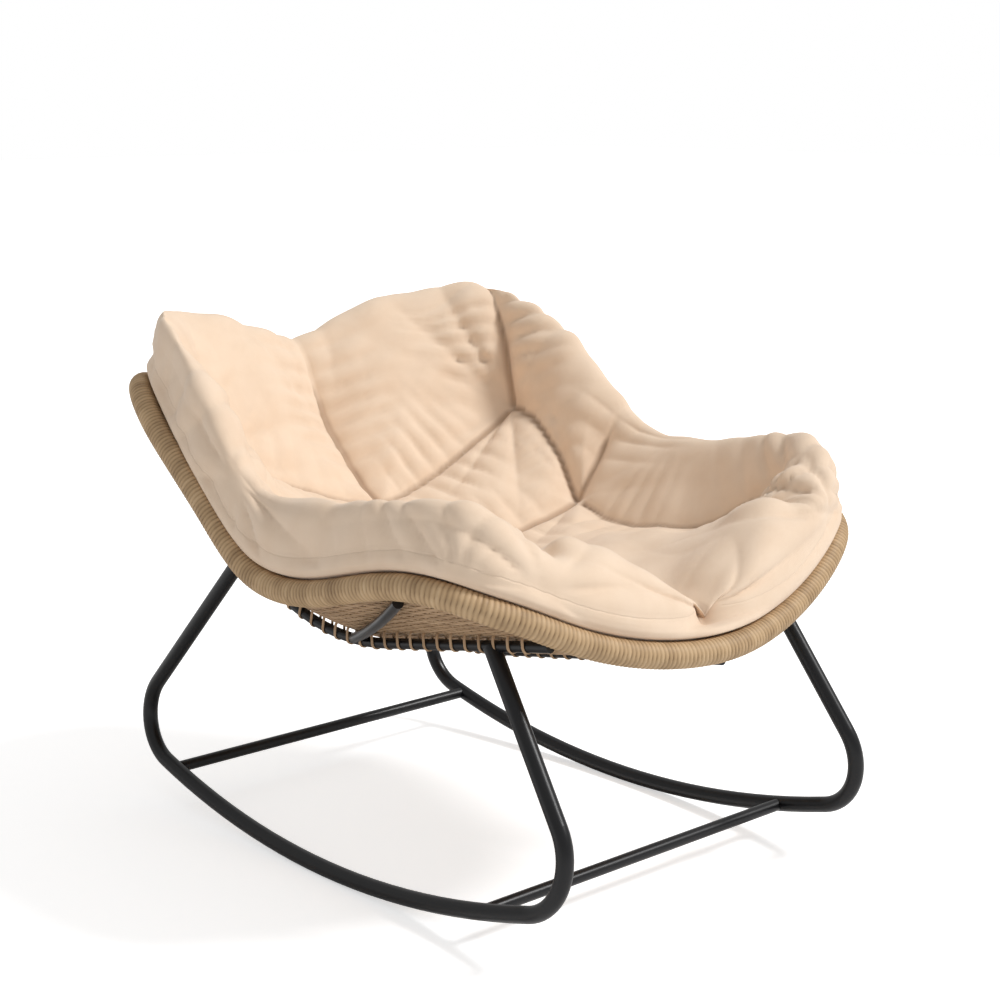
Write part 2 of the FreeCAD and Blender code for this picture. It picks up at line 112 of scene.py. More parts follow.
class Seam(Enum):
    """Seams of the cushion's top. One that leaves the middle has a mirror image too.

    A plan is in plan units: x to the side, then the way to the front. Depth and folds are shares of the
    cushion's own. A seam that fades, with 1 and not 0, eases towards its far end.
    """

    EAR = ((0.42, -0.39), (0.47, -0.45), (0.53, -0.56), (0.56, -0.66)), 1.0, 1.1, 1
    BACK_CROSS = ((0.42, -0.39), (0.30, -0.39), (0.15, -0.38), (0.0, -0.37)), 0.9, 1.0, 0
    ARM = ((0.42, -0.39), (0.435, -0.30), (0.43, -0.18), (0.40, -0.08)), 1.0, 0.5, 0
    SIDE = ((0.40, -0.08), (0.48, -0.09), (0.56, -0.10), (0.66, -0.10)), 0.7, 0.5, 1
    SEAT_SIDE = (
        ((0.40, -0.08), (0.39, 0.10), (0.42, 0.27), (0.48, 0.40), (0.51, 0.52), (0.49, 0.64), (0.46, 0.72)),
        0.7, 1.1, 1,
    )
    SEAT_CROSS = ((0.40, -0.08), (0.26, -0.10), (0.12, -0.11), (0.0, -0.11)), 0.8, 0.6, 0
    BACK_MIDDLE = ((0.0, -0.37), (0.0, -0.50), (0.0, -0.65), (0.0, -0.82)), 1.0, 1.1, 1
    FRONT_MIDDLE = ((0.0, 0.80), (0.0, 0.72), (0.0, 0.64), (0.0, 0.56)), 1.3, 1.0, 1

    def __init__(self, plan: Rows, depth: float, folds: float, fades: int) -> None:
        """Names the parts of a seam's value."""
        self.plan = plan
        self.depth = depth
        self.folds = folds
        self.fades = fades


Seams = list[tuple[Seam, Array]]
Nearness = list[tuple[Array, Array]]


def new_object(name: str, points: Array, *groups: Array) -> Object:
    """Makes a smooth-shaded mesh object at the origin.

    Args:
        name: object name.
        points: n x 3 array of places in metres.
        groups: arrays of point indices, a row for each face. A group's faces have equally many corners.

    Returns:
        The linked object.
    """
    mesh = bpy.data.meshes.new(name)
    corners = np.concatenate([np.full(len(faces), faces.shape[1]) for faces in groups])
    indices = np.concatenate([faces.ravel() for faces in groups])
    mesh.vertices.add(len(points))
    mesh.vertices.foreach_set("co", points.astype(np.float32).ravel())
    mesh.loops.add(len(indices))
    mesh.loops.foreach_set("vertex_index", indices.astype(np.int32))
    mesh.polygons.add(len(corners))
    mesh.polygons.foreach_set("loop_start", (np.cumsum(corners) - corners).astype(np.int32))
    mesh.update(calc_edges=True)
    mesh.validate()
    mesh.polygons.foreach_set("use_smooth", np.ones(len(mesh.polygons), dtype=bool))
    obj = bpy.data.objects.new(name, mesh)
    bpy.context.scene.collection.objects.link(obj)
    return obj


def point_values(obj: Object, name: str, values: Array) -> None:
    """Stores one number for each point of a mesh, for its material to read."""
    attribute = obj.data.attributes.new(name, "FLOAT", "POINT")
    attribute.data.foreach_set("value", values.astype(np.float32).ravel())


def quads(rows: int, columns: int, wrap_rows: bool = False) -> Array:
    """Faces of a grid whose points are numbered row by row, and whose last column joins the first.

    Args:
        rows: points along the first direction.
        columns: points along the second direction.
        wrap_rows: whether the last row joins the first too.

    Returns:
        Array of four point indices for each face.
    """
    index = np.arange(rows * columns).reshape(rows, columns)
    if wrap_rows:
        index = np.concatenate([index, index[:1]], axis=0)
    index = np.concatenate([index, index[:, :1]], axis=1)
    return np.stack([index[:-1, :-1], index[:-1, 1:], index[1:, 1:], index[1:, :-1]], axis=-1).reshape(-1, 4)


def repeated(faces: Array, count: int) -> Array:
    """Faces of several equal pieces whose points follow one another, from the faces of the first."""
    size = faces.max() + 1
    return (faces[None] + (np.arange(count) * size)[:, None, None]).reshape(-1, 4)


def unit(vectors: Array) -> Array:
    """Scales vectors along the last axis to length one."""
    return vectors / np.maximum(np.linalg.norm(vectors, axis=-1, keepdims=True), 1e-12)


def smooth_step(values: Array, low: float, high: float) -> Array:
    """Rises from 0 at low to 1 at high with level ends."""
    share = np.clip((values - low) / (high - low), 0, 1)
    return share * share * (3 - 2 * share)


def run_along(line: Array) -> Array:
    """Distance along a line at each of its points, which are the rows of an array."""
    return np.concatenate([[0], np.cumsum(np.linalg.norm(np.diff(line, axis=0), axis=1))])


def ring_angles(count: int) -> Array:
    """Even angles round a circle."""
    return np.arange(count) * 2 * math.pi / count


def across_line(line: Array) -> tuple[Array, Array]:
    """Unit vectors across a closed line at each of its points: level, and upright to it."""
    way = unit(np.roll(line, -1, axis=0) - np.roll(line, 1, axis=0))
    side = unit(np.cross(way, np.array([0.0, 0.0, 1.0])))
    return side, np.cross(side, way)


class RimPath:
    """The rim's centre line: a closed cubic spline through its points, with its chords as the parameter."""

    def __init__(self) -> None:
        """Solves the closed spline's second derivatives for x, y, z and cushion rise together."""
        half = np.array(RIM_HALF, float) / 1000
        mirrored = half[-2:0:-1] * np.array([-1, 1, 1, 1])
        self.knots = np.concatenate([half, mirrored])
        after = np.roll(self.knots, -1, axis=0)
        self.steps = np.linalg.norm(after[:, :3] - self.knots[:, :3], axis=1)
        self.starts = np.concatenate([[0], np.cumsum(self.steps)])
        count = len(self.knots)
        before = np.roll(self.steps, 1)
        matrix = np.zeros((count, count))
        here = np.arange(count)
        matrix[here, here] = 2 * (before + self.steps)
        matrix[here, here - 1] += before
        matrix[here, (here + 1) % count] += self.steps
        slopes = (after - self.knots) / self.steps[:, None]
        self.bends = np.linalg.solve(matrix, 6 * (slopes - np.roll(slopes, 1, axis=0)))

    def at(self, parameter: Array) -> Array:
        """Gives x, y, z and cushion rise at parameters along the chords, as an n x 4 array."""
        parameter = np.mod(parameter, self.starts[-1])
        piece = np.clip(np.searchsorted(self.starts, parameter, side="right") - 1, 0, len(self.knots) - 1)
        following = (piece + 1) % len(self.knots)
        step = self.steps[piece][:, None]
        right = (parameter - self.starts[piece])[:, None] / step
        left = 1 - right
        curve = left * self.knots[piece] + right * self.knots[following]
        bend = (left**3 - left) * self.bends[piece] + (right**3 - right) * self.bends[following]
        return curve + bend * step**2 / 6

    def measured(self) -> tuple[Array, Array]:
        """Gives fine parameters along the chords, and the line's length up to each of them."""
        fine = np.linspace(0, self.starts[-1], RIM_SAMPLES)
        return fine, run_along(self.at(fine)[:, :3])

    def even(self, count: int) -> Array:
        """Gives count rows of x, y, z and rise at even distances along the line, from the front middle."""
        fine, run = self.measured()
        return self.at(np.interp(np.arange(count) * run[-1] / count, run, fine))


@dataclass(frozen=True)
class Trough:
    """Seat line and back line in the YZ plane, joined by a bend. Metres and degrees."""

    low_y: float
    low_z: float
    seat_slope: float
    back_slope: float
    bend: float

    def height(self, y: Array) -> Array:
        """Height of the line: the two straights, and the circle that touches both between them."""
        seat, back = math.radians(self.seat_slope), math.radians(self.back_slope)
        reach = self.bend * math.tan((seat + back) / 2)
        start = self.low_y - reach * math.cos(seat)
        end = self.low_y + reach * math.cos(back)
        centre_y = start + self.bend * math.sin(seat)
        centre_z = self.low_z + reach * math.sin(seat) + self.bend * math.cos(seat)
        line = self.low_z - (y - self.low_y) * math.tan(seat)
        rise = self.low_z + (y - self.low_y) * math.tan(back)
        curve = centre_z - np.sqrt(np.maximum(self.bend**2 - (y - centre_y) ** 2, 0))
        return np.where(y <= start, line, np.where(y >= end, rise, curve))


@dataclass(frozen=True)
class Bowl:
    """Height of the woven bowl: its middle line, and sides that rise as the square of the half-width."""

    line: Trough = Trough(0.173, 0.282, 9.9, 42.9, 0.541)
    seat_cup: float = 0.88
    back_cup: float = 1.58
    cup_from: float = -0.033
    cup_to: float = 0.273

    def height(self, x: Array, y: Array) -> Array:
        """Height of the weave's upper face at x, y."""
        cup = self.seat_cup + (self.back_cup - self.seat_cup) * smooth_step(y, self.cup_from, self.cup_to)
        return self.line.height(y) + cup * x * x


class Shader:
    """Builds one node material step by step."""

    def __init__(self, name: str) -> None:
        """Starts a material with its surface shader."""
        self.material = bpy.data.materials.new(name)
        self.material.use_nodes = True
        self.tree = self.material.node_tree
        self.surface = self.tree.nodes["Principled BSDF"]

    def node(self, kind: str, **settings: object) -> bpy.types.Node:
        """Adds a node. Settings that name an input set its value, and others set the node's property."""
        made = self.tree.nodes.new(kind)
        for key, value in settings.items():
            if key in made.inputs:
                made.inputs[key].default_value = value
            else:
                setattr(made, key, value)
        return made

    def link(self, out: Socket, into: Socket) -> None:
        """Joins two sockets."""
        self.tree.links.new(out, into)

    def feed(self, out: Socket, name: str) -> None:
        """Joins a socket to an input of the surface."""
        self.link(out, self.surface.inputs[name])

    def surface_values(self, values: dict[str, object]) -> None:
        """Sets inputs of the surface by their names."""
        for name, value in values.items():
            self.surface.inputs[name].default_value = value

    def object_places(self) -> Socket:
        """Socket with the place in the object's own frame."""
        return self.node("ShaderNodeTexCoord").outputs["Object"]

    def value(self, name: str) -> Socket:
        """Socket with a stored number of the mesh."""
        return self.node("ShaderNodeAttribute", attribute_name=name).outputs["Fac"]

    def noise(self, places_socket: Socket, scale: float, detail: float) -> Socket:
        """Socket with soft noise between 0 and 1."""
        made = self.node("ShaderNodeTexNoise", Scale=scale, Detail=detail)
        self.link(places_socket, made.inputs["Vector"])
        return made.outputs["Fac"]

    def step(self, distance: Socket, width: float) -> Socket:
        """Socket that rises smoothly from 0 to 1 while a distance grows from 0 to a width."""
        made = self.node("ShaderNodeMapRange", interpolation_type="SMOOTHSTEP", **{"From Max": width})
        self.link(distance, made.inputs["Value"])
        return made.outputs["Result"]

    def ramp(self, factor: Socket, stops: tuple[float, ...], colours: tuple[Triple, ...]) -> Socket:
        """Socket with a colour between stops that each have a colour."""
        made = self.node("ShaderNodeValToRGB")
        band = made.color_ramp
        while len(band.elements) < len(stops):
            band.elements.new(0.5)
        for element, place, colour in zip(band.elements, stops, colours):
            element.position = place
            element.color = (*colour, 1)
        self.link(factor, made.inputs["Fac"])
        return made.outputs["Color"]

    def bump(self, height: Socket, distance: float, strength: float, under: Socket | None = None) -> Socket:
        """Socket with a normal that a height bends, over an optional earlier bump."""
        made = self.node("ShaderNodeBump", Strength=strength, Distance=distance)
        self.link(height, made.inputs["Height"])
        if under is not None:
            self.link(under, made.inputs["Normal"])
        return made.outputs["Normal"]

    def grain(self, spots: Socket, relief: Triple, detail: float, under: Socket | None = None) -> Socket:
        """Socket with a normal that soft noise bends. Its relief is a scale, a height and a strength."""
        scale, height, strength = relief
        return self.bump(self.noise(spots, scale, detail), height, strength, under)


@dataclass(frozen=True)
class PowderCoat:
    """Satin black coat on the tubes: a fine orange-peel grain and slightly uneven gloss."""

    colour: Triple = (0.006, 0.006, 0.007)
    specular: float = 0.4
    gloss: Pair = (0.26, 0.38)
    gloss_scale: float = 14
    grain: Triple = (900, 0.0003, 0.12)

    def material(self) -> Material:
        """Makes the material."""
        shader = Shader("powder_coat")
        spots = shader.object_places()
        shader.surface_values({"Base Color": (*self.colour, 1), "Specular IOR Level": self.specular})
        spread = shader.node("ShaderNodeMapRange", **dict(zip(("To Min", "To Max"), self.gloss)))
        shader.link(shader.noise(spots, self.gloss_scale, 3), spread.inputs["Value"])
        shader.feed(spread.outputs["Result"], "Roughness")
        shader.feed(shader.grain(spots, self.grain, 2), "Normal")
        return shader.material


@dataclass(frozen=True)
class Wicker:
    """Straw-coloured resin strand: each strand has its own tone, with a soft mottle and a fine grain."""

    name: str
    dark: Triple
    middle: Triple
    light: Triple
    grain: Triple
    stops: Triple = (0.2, 0.62, 1.0)
    mottle_scale: float = 30
    mottle: float = 0.5
    roughness: float = 0.55
    specular: float = 0.35

    def material(self) -> Material:
        """Makes the material. The mesh stores a tone for each strand."""
        shader = Shader(self.name)
        spots = shader.object_places()
        mixed = shader.node("ShaderNodeMath", operation="MULTIPLY_ADD")
        shader.link(shader.noise(spots, self.mottle_scale, 4), mixed.inputs[0])
        mixed.inputs[1].default_value = self.mottle
        # On the rim wrap the stored tone also holds painted shade in the grooves between its turns
        shader.link(shader.value("tone"), mixed.inputs[2])
        colours = (self.dark, self.middle, self.light)
        shader.feed(shader.ramp(mixed.outputs["Value"], self.stops, colours), "Base Color")
        shader.surface_values({"Roughness": self.roughness, "Specular IOR Level": self.specular})
        shader.feed(shader.grain(spots, self.grain, 3), "Normal")
        return shader.material


RIM_STRAW = Wicker(
    "rim_straw", (0.20, 0.118, 0.055), (0.51, 0.345, 0.19), (0.70, 0.52, 0.32), (700, 0.0006, 0.35)
)
WEAVE_STRAW = Wicker(
    "weave_straw", (0.17, 0.095, 0.045), (0.45, 0.29, 0.165), (0.60, 0.42, 0.26), (900, 0.0006, 0.35)
)


@dataclass(frozen=True)
class Fabric:
    """Soft matt cream cloth: fine threads, faint mottling, a little sheen, a boxing-seam groove and painted
    shade in seams.

    Threads and rumple are a scale, a height and a strength. The groove has a width in place of the scale.
    """

    shade: Triple = (0.80, 0.615, 0.455)
    colour: Triple = (0.835, 0.655, 0.495)
    mottle_stops: Pair = (0.3, 0.6)
    mottle_scale: float = 22
    surface: tuple[tuple[str, float], ...] = (
        ("Roughness", 0.88), ("Specular IOR Level", 0.2), ("Sheen Weight", 0.25), ("Sheen Roughness", 0.5),
    )
    threads: Triple = (1100.0, 0.0002, 0.25)
    rumple: Triple = (60, 0.002, 0.10)
    groove: Triple = (0.0022, 0.0012, 0.5)
    # Painted shade in the seams' valleys: its colour, and the distance from a seam over which it fades
    crease_shade: Triple = (0.50, 0.345, 0.235)
    crease_shade_width: float = 0.0095

    def material(self) -> Material:
        """Makes the material. The mesh stores its height over the boxing seam."""
        shader = Shader("cream_cloth")
        spots = shader.object_places()
        mottle = shader.noise(spots, self.mottle_scale, 4)
        cloth = shader.ramp(mottle, self.mottle_stops, (self.shade, self.colour))
        shader.feed(self.with_crease_shade(shader, cloth), "Base Color")
        shader.surface_values(dict(self.surface))
        scale, height, strength = self.threads
        both = shader.node("ShaderNodeMath", operation="ADD")
        for number, direction in enumerate(("X", "DIAGONAL")):
            bands = shader.node("ShaderNodeTexWave", bands_direction=direction, Scale=scale)
            shader.link(spots, bands.inputs["Vector"])
            shader.link(bands.outputs["Fac"], both.inputs[number])
        weave = shader.bump(both.outputs["Value"], height, strength)
        soft = shader.grain(spots, self.rumple, 3, weave)
        near = shader.node("ShaderNodeMath", operation="ABSOLUTE")
        shader.link(shader.value("over_seam"), near.inputs[0])
        width, height, strength = self.groove
        groove = shader.step(near.outputs["Value"], width)
        shader.feed(shader.bump(groove, height, strength, soft), "Normal")
        return shader.material

    def with_crease_shade(self, shader: Shader, cloth: Socket) -> Socket:
        """Socket with the cloth's colour and painted shade, darker where the way to a seam, which the mesh
        stores, is short.
        """
        mixed = shader.node("ShaderNodeMix", data_type="RGBA")
        shader.link(shader.step(shader.value("seam_gap"), self.crease_shade_width), mixed.inputs[0])
        mixed.inputs[MIX_FIRST].default_value = (*self.crease_shade, 1)
        shader.link(cloth, mixed.inputs[MIX_SECOND])
        return mixed.outputs[MIX_OUT]


@dataclass
class RimWrap:
    """The wrapped rim: one strand wound round a hoop, turn beside turn."""

    path: RimPath
    radius: float = 0.0178
    ridge: float = 0.0017
    groove_shade: float = 0.36
    tones: Pair = (0.30, 0.46)
    pitch: float = 0.0071
    steps_a_turn: int = 6
    around: int = 22

    def build(self) -> Object:
        """Sweeps a ring along the rim whose radius bulges over each turn.

        The turn number at a point is its distance along the line divided by the pitch, plus its share of the
        way round. The ridge rises between whole turn numbers as the root of a sine.
        """
        _, run = self.path.measured()
        turns = int(run[-1] / self.pitch)
        count = turns * self.steps_a_turn
        line = self.path.even(count)[:, :3]
        side, up = across_line(line)
        angle = ring_angles(self.around)
        turn = np.arange(count)[:, None] / self.steps_a_turn + angle[None, :] / (2 * math.pi)
        bulge = np.sqrt(np.abs(np.sin(math.pi * turn)))
        radius = self.radius + self.ridge * bulge
        ring = side[:, None, :] * np.cos(angle)[None, :, None] + up[:, None, :] * np.sin(angle)[None, :, None]
        points = line[:, None, :] + ring * radius[:, :, None]
        obj = new_object("rim_wrap", points.reshape(-1, 3), quads(count, self.around, wrap_rows=True))
        tones = np.random.default_rng(SEED).uniform(*self.tones, turns + 2)
        # Each turn's own tone, less painted shade towards the groove between turns
        point_values(obj, "tone", tones[np.floor(turn).astype(int)] - (1 - bulge) * self.groove_shade)
        return obj

    def dress(self, obj: Object, finish: Material) -> None:
        """Gives the wrap its finish and its place in the frame."""
        obj.data.materials.append(finish)
        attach(obj, "root")
        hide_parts("rim")


@dataclass
class Weave:
    """The woven bowl: strands that run fore and aft from rim to rim, over and under ribs that run across."""

    path: RimPath
    bowl: Bowl
    pitch: float = 0.0066
    strand_width: float = 0.0062
    strand_thick: float = 0.0026
    strand_tones: Pair = (0.25, 0.5)
    rib_gap: float = 0.024
    rib_width: float = 0.0046
    rib_thick: float = 0.0018
    rib_tones: Pair = (0.2, 0.4)
    wave: float = 0.0009
    middle: float = -0.0015
    rim_room: float = 0.012
    end_size: float = 0.05
    steps: int = 84
    around: int = 6
    samples: int = 2000
    cross_samples: int = 800

    def lay(self, x: Array, y: Array, lift: Array, width: float, thick: float) -> Array:
        """Flat rods along lines on the bowl.

        Each ring is an ellipse across the line: its width lies in the bowl's surface, and its thickness along
        the surface's normal. The first and last rings shrink, so the open ends don't show.

        Args:
            x: rods x steps places along X.
            y: rods x steps places along Y.
            lift: rods x steps heights over the middle of the weave, along the normal.
            width: full width of a rod.
            thick: full thickness of a rod.

        Returns:
            Array of points, rods x steps x around x 3, flattened to n x 3.
        """
        slope_x = (self.bowl.height(x + NUDGE, y) - self.bowl.height(x - NUDGE, y)) / (2 * NUDGE)
        slope_y = (self.bowl.height(x, y + NUDGE) - self.bowl.height(x, y - NUDGE)) / (2 * NUDGE)
        normal = unit(np.stack([-slope_x, -slope_y, np.ones_like(x)], axis=-1))
        line = np.stack([x, y, self.bowl.height(x, y)], axis=-1) + normal * (self.middle + lift)[..., None]
        side = unit(np.cross(np.gradient(line, axis=1), normal))
        angle = ring_angles(self.around)
        size = np.ones(x.shape[1])
        size[[0, -1]] = self.end_size
        flat = side[:, :, None, :] * (np.cos(angle) * width / 2)[None, None, :, None]
        tall = normal[:, :, None, :] * (np.sin(angle) * thick / 2)[None, None, :, None]
        return (line[:, :, None, :] + (flat + tall) * size[None, :, None, None]).reshape(-1, 3)

    def build(self) -> Object:
        """Lays strands at even distances across the bowl and ribs at even distances along it.

        Neighbouring strands wave in opposite senses, as a cosine of the distance along the bowl's middle, so
        each passes over one rib and under the next.
        """
        half_width, along = self.path.even(self.samples)[: self.samples // 2 + 1, :2].T
        widest = half_width.argmax()
        reach = np.linspace(0, half_width.max() - self.rim_room, self.cross_samples)
        across = run_along(np.stack([reach, self.bowl.height(reach, reach * 0)], axis=1))
        places_left = np.interp(np.arange(0, across[-1], self.pitch), across, reach)
        x = np.concatenate([-places_left[:0:-1], places_left])
        front = np.interp(np.abs(x), half_width[: widest + 1], along[: widest + 1]) + self.rim_room / 2
        rear = np.interp(np.abs(x), half_width[widest:][::-1], along[widest:][::-1]) - self.rim_room / 2
        share = np.linspace(0, 1, self.steps)
        y = front[:, None] + (rear - front)[:, None] * share[None, :]
        fine = np.linspace(along[0], along[-1], self.samples)
        run = run_along(np.stack([fine, self.bowl.height(fine * 0, fine)], axis=1))
        sense = np.where(np.arange(len(x)) % 2, 1.0, -1.0)[:, None]
        lift = sense * self.wave * np.cos(np.interp(y, fine, run) * math.pi / self.rib_gap)
        strand_x = np.repeat(x[:, None], self.steps, axis=1)
        strands = self.lay(strand_x, y, lift, self.strand_width, self.strand_thick)
        rib_y = np.interp(np.arange(self.rib_gap, run[-1] - self.rib_gap / 2, self.rib_gap), run, fine)
        rib_steps = self.steps // 2
        rib_reach = np.interp(rib_y, along, half_width) - self.rim_room / 2
        rib_x = rib_reach[:, None] * np.linspace(-1, 1, rib_steps)[None, :]
        rib_rows = np.repeat(rib_y[:, None], rib_steps, axis=1)
        ribs = self.lay(rib_x, rib_rows, np.zeros_like(rib_x), self.rib_width, self.rib_thick)
        faces = np.concatenate([
            repeated(quads(self.steps, self.around), len(x)),
            repeated(quads(rib_steps, self.around), len(rib_y)) + len(strands),
        ])
        obj = new_object("weave", np.concatenate([strands, ribs]), faces)
        rng = np.random.default_rng(SEED)
        tones = np.concatenate([
            np.repeat(rng.uniform(*self.strand_tones, len(x)), self.steps * self.around),
            np.repeat(rng.uniform(*self.rib_tones, len(rib_y)), rib_steps * self.around),
        ])
        point_values(obj, "tone", tones)
        return obj

    def dress(self, obj: Object, finish: Material) -> None:
        """Gives the weave its finish and its place in the frame."""
        obj.data.materials.append(finish)
        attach(obj, "root")
        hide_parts("woven_bowl")


@dataclass
class Lashings:
    """Strands tied round the rails and through the weave at even distances."""

    bowl: Bowl
    side_line: Trough = Trough(0.102, 0.342, 10.80, 41.09, 0.440)
    side_x: float = 0.285
    side_span: Pair = (-0.459, 0.485)
    middle_line: Trough = Trough(0.173, 0.264, 10.26, 43.04, 0.440)
    middle_span: Pair = (-0.512, 0.551)
    gap: float = 0.030
    margin: float = 0.045
    rail_radius: float = 0.008
    strand: float = 0.0011
    width: float = 0.0062
    raised_at: float = 0.5
    tones: Pair = (0.3, 0.5)
    around: int = 20
    section: int = 6
    samples: int = 1500

    def loops(self, x: float, line: Trough, span: Pair) -> Array:
        """Loops of one rail.

        Each loop is a circle round the rail whose upper half is raised to the top of the weave. Its strand is
        a flat ellipse that lies on the loop.

        Args:
            x: the rail's place along X.
            line: its line.
            span: where it starts and ends along Y.

        Returns:
            Array of points, loops x around x section x 3.
        """
        fine = np.linspace(span[0] + self.margin, span[1] - self.margin, self.samples)
        run = run_along(np.stack([fine, line.height(fine)], axis=1))
        y = np.interp(np.arange(0, run[-1], self.gap), run, fine)
        slope = (line.height(y + NUDGE) - line.height(y - NUDGE)) / (2 * NUDGE)
        way = unit(np.stack([np.zeros_like(y), np.ones_like(y), slope], axis=-1))
        up = np.stack([np.zeros_like(y), -way[:, 2], way[:, 1]], axis=-1)
        centre = np.stack([np.full_like(y, x), y, line.height(y)], axis=-1)
        room = (self.bowl.height(centre[:, 0], y) - centre[:, 2]) * way[:, 1] - self.rail_radius
        angle = ring_angles(self.around)
        outwards = np.stack([np.cos(angle), np.sin(angle)], axis=-1)
        turn = ring_angles(self.section)
        radius = self.rail_radius + self.strand * (1 + np.sin(turn))
        raised = np.maximum(room, 0)[:, None] * smooth_step(np.sin(angle), 0.0, self.raised_at)[None, :]
        flat = outwards[:, None, :] * radius[None, :, None]
        level = np.array([1.0, 0.0, 0.0]) * flat[None, :, :, :1]
        tall = up[:, None, None, :] * (flat[None, :, :, 1] + raised[:, :, None])[..., None]
        along = way[:, None, None, :] * (np.cos(turn) * self.width / 2)[None, None, :, None]
        return centre[:, None, None, :] + level + tall + along

    def build(self) -> Object:
        """Makes the loops of all rails as one mesh."""
        right, left = ((x, self.side_line, self.side_span) for x in (-self.side_x, self.side_x))
        rails = (right, (0.0, self.middle_line, self.middle_span), left)
        loops = np.concatenate([self.loops(*rail) for rail in rails])
        faces = repeated(quads(self.around, self.section, wrap_rows=True), len(loops))
        obj = new_object("lashings", loops.reshape(-1, 3), faces)
        tones = np.random.default_rng(SEED + 1).uniform(*self.tones, len(loops))
        point_values(obj, "tone", np.repeat(tones, self.around * self.section))
        return obj

    def dress(self, obj: Object, finish: Material) -> None:
        """Gives the lashings their finish and their place in the frame."""
        obj.data.materials.append(finish)
        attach(obj, "root")


def seam_lines(samples: int = 90, window: int = 15) -> Seams:
    """Seams of the cushion's top in plan, in metres, as lines of x, y with their corners smoothed.

    A seam that leaves the middle is followed by its mirror image.
    """
    kernel = np.ones(window) / window
    fine = np.linspace(0, 1, samples)
    lines = []
    for seam in Seam:
        knots = np.array(seam.plan) * np.array([PLAN_UNIT, -PLAN_UNIT])
        share = np.linspace(0, 1, len(knots))
        line = np.stack([np.interp(fine, share, knots[:, axis]) for axis in (0, 1)], axis=1)
        padded = np.pad(line, ((window // 2, window // 2), (0, 0)), mode="edge")
        line = np.stack([np.convolve(padded[:, axis], kernel, "valid") for axis in (0, 1)], axis=1)
        lines.append((seam, line))
        if np.abs(line[:, 0]).max() > 1e-6:
            lines.append((seam, line * np.array([-1, 1])))
    return lines


def seam_ends(seams: Seams, kind: Seam, index: int) -> Array:
    """First points of a seam and its mirror image with index 0, and last points with -1."""
    return np.stack([line[index] for seam, line in seams if seam is kind])


def square_gaps(points: Array, targets: Array) -> Iterator[tuple[slice, Array]]:
    """Yields batches of points as slices, with their squared distances to every target."""
    for start in range(0, len(points), BATCH):
        batch = slice(start, start + BATCH)
        part = points[batch]
        yield batch, (part**2).sum(1)[:, None] - 2 * part @ targets.T + (targets**2).sum(1)[None, :]


def nearest(points: Array, targets: Array) -> tuple[Array, Array]:
    """Distance from each point to the nearest target, and that target's index."""
    distance = np.empty(len(points))
    which = np.empty(len(points), int)
    for batch, square in square_gaps(points, targets):
        which[batch] = square.argmin(1)
        distance[batch] = np.sqrt(np.maximum(square.min(1), 0))
    return distance, which


def beside(points: Array, line: Array, spread: float) -> tuple[Array, Array]:
    """Distance from each point to a line, and the share of the line's length that it lies beside.

    The share is a mean over the line's points. Their weights fall as a bell curve of distance, as wide as the
    spread, so it never jumps.
    """
    run = run_along(line)
    distance = np.empty(len(points))
    share = np.empty(len(points))
    for batch, square in square_gaps(points, line):
        least = square.min(1)
        weights = np.exp((least[:, None] - square) / (2 * spread**2))
        distance[batch] = np.sqrt(np.maximum(least, 0))
        share[batch] = weights @ run / weights.sum(1) / run[-1]
    return distance, share


def thin_plate(sites: Array, ease: float, x: Array, y: Array) -> Array:
    """Smooth surface through sites of x, y and height: a plane, and a bend of r squared times log r for each.

    With an ease over 0 it may pass by the heights. The result has the shape of x and y.
    """
    count = len(sites)
    all_x = np.concatenate([sites[:, 0], x.ravel()])
    all_y = np.concatenate([sites[:, 1], y.ravel()])
    gap = np.hypot(all_x[:, None] - sites[None, :, 0], all_y[:, None] - sites[None, :, 1])
    bend = gap**2 * np.log(gap + 1e-9)
    plane = np.stack([np.ones_like(all_x), all_x, all_y], axis=1)
    stiff = bend[:count] + ease * np.eye(count)
    matrix = np.block([[stiff, plane[:count]], [plane[:count].T, np.zeros((3, 3))]])
    weights = np.linalg.solve(matrix, np.concatenate([sites[:, 2], np.zeros(3)]))
    return (bend[count:] @ weights[:-3] + plane[count:] @ weights[-3:]).reshape(x.shape)


